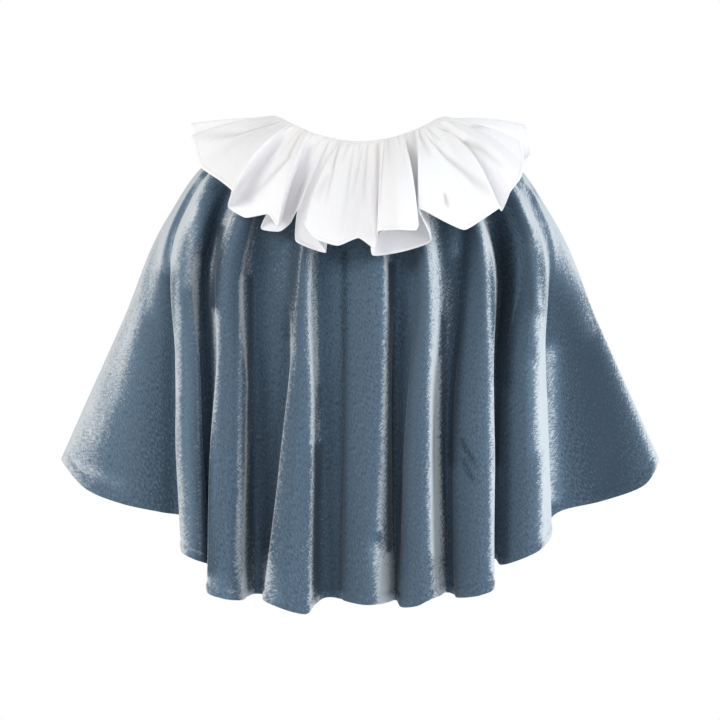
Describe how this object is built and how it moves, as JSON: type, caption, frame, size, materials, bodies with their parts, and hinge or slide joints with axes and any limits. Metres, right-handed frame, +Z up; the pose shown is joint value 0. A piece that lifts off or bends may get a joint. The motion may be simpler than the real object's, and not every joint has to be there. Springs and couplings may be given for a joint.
{
  "type": "short cape with frill collar",
  "caption": "Child's short cape in pile cloth, hanging in deep folds and open at neck and hem, with a wide white gathered frill sewn round the neck.",
  "frame": {"origin": "middle of the neck opening, level with the mean height of the neck seam", "axes": "+Z up towards the head, -Y out of the pictured side of the cape, +X to the right in the picture"},
  "size_m": [0.479, 0.305, 0.3889],
  "materials": {
    "velvet_front": "short soft pile with a pale sheen at a slant",
    "velvet_back_left": "short soft pile with a pale sheen at a slant",
    "velvet_back_right": "short soft pile with a pale sheen at a slant",
    "white_cotton": "matt, closely woven, lightly creased"
  },
  "bodies": {
    "root": {"cape_front": "velvet_front", "cape_back_left": "velvet_back_left", "cape_back_right": "velvet_back_right", "collar_frill": "white_cotton"}
  },
  "joints": []
}
